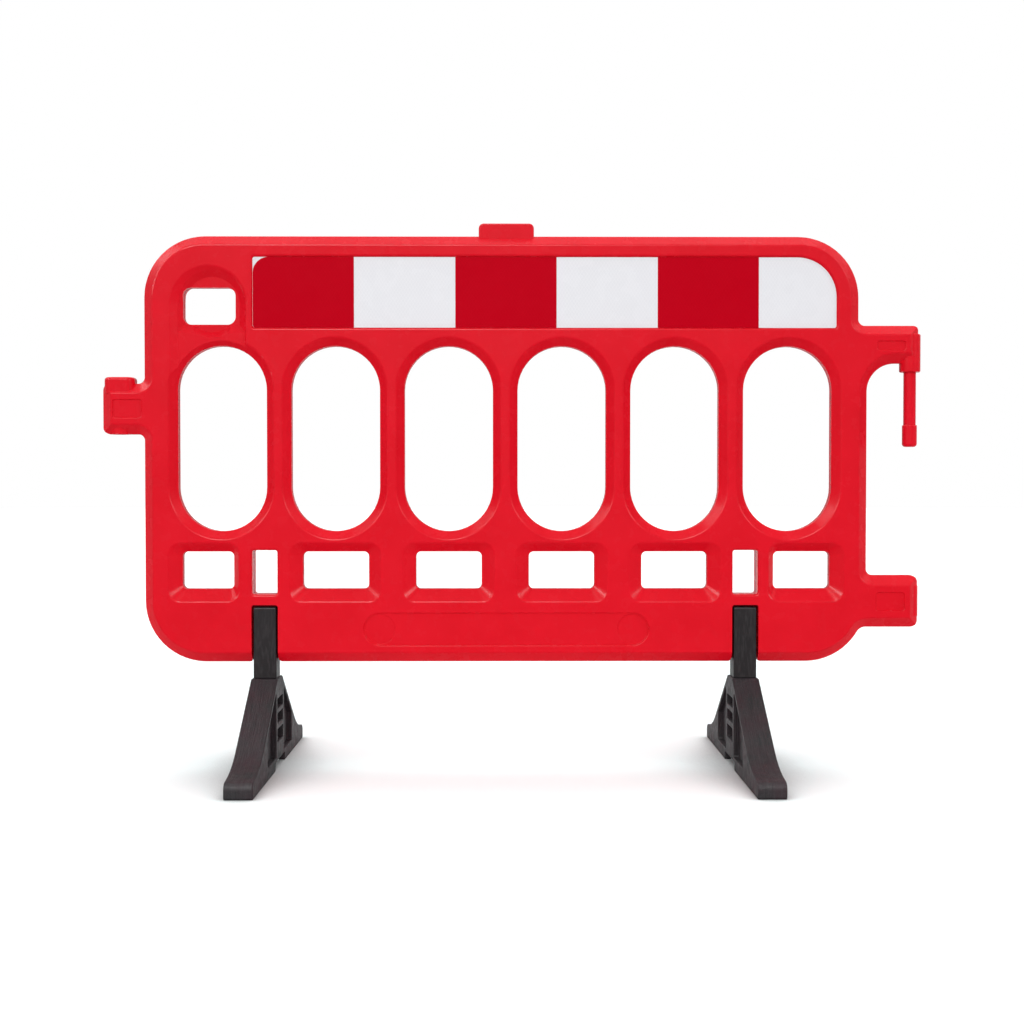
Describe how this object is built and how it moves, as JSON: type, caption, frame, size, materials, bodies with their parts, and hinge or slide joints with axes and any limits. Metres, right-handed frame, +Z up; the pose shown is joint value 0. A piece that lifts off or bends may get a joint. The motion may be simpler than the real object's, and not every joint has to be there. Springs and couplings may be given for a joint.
{
  "type": "road barrier",
  "caption": "Plastic pedestrian road barrier: hollow red panel with tall oval openings, red and white reflective films, link pin and socket, and removable swivel feet.",
  "frame": {"origin": "on the ground, under the middle of the overall length, in the panel's middle plane", "axes": "+X along the panel towards the link pin, +Y through the panel to its back, +Z up"},
  "size_m": [1.503, 0.582, 0.9976],
  "materials": {
    "red_plastic": "moulded satin",
    "pin_plastic": "moulded satin",
    "white_film": "reflective sheeting",
    "red_film": "reflective sheeting",
    "post_plastic": "moulded satin",
    "foot_plastic": "mottled recycled plastic",
    "zinc_steel": "zinc plated"
  },
  "bodies": {
    "panel_body": {"panel": "red_plastic", "link_pin": "pin_plastic", "front_base_film": "white_film", "front_red_film_1": "red_film", "front_red_film_2": "red_film", "front_red_film_3": "red_film", "back_base_film": "white_film", "back_red_film_1": "red_film", "back_red_film_2": "red_film", "back_red_film_3": "red_film"},
    "left_post_body": {"left_post": "post_plastic", "left_swivel_washer": "zinc_steel", "left_swivel_bolt": "zinc_steel"},
    "left_foot_body": {"left_foot": "foot_plastic"},
    "right_post_body": {"right_post": "post_plastic", "right_swivel_washer": "zinc_steel", "right_swivel_bolt": "zinc_steel"},
    "right_foot_body": {"right_foot": "foot_plastic"}
  },
  "joints": [
    {"name": "left_post_slide", "type": "slide", "parent": "panel_body", "child": "left_post_body", "axis": [0, 0, -1], "range_m": [0, 0.115]},
    {"name": "left_foot_swivel", "type": "hinge", "parent": "left_post_body", "child": "left_foot_body", "pos_m": [-0.45425, 0, 0.1], "axis": [0, 0, 1], "continuous": true},
    {"name": "right_post_slide", "type": "slide", "parent": "panel_body", "child": "right_post_body", "axis": [0, 0, -1], "range_m": [0, 0.115]},
    {"name": "right_foot_swivel", "type": "hinge", "parent": "right_post_body", "child": "right_foot_body", "pos_m": [0.42615, 0, 0.1], "axis": [0, 0, 1], "continuous": true}
  ]
}
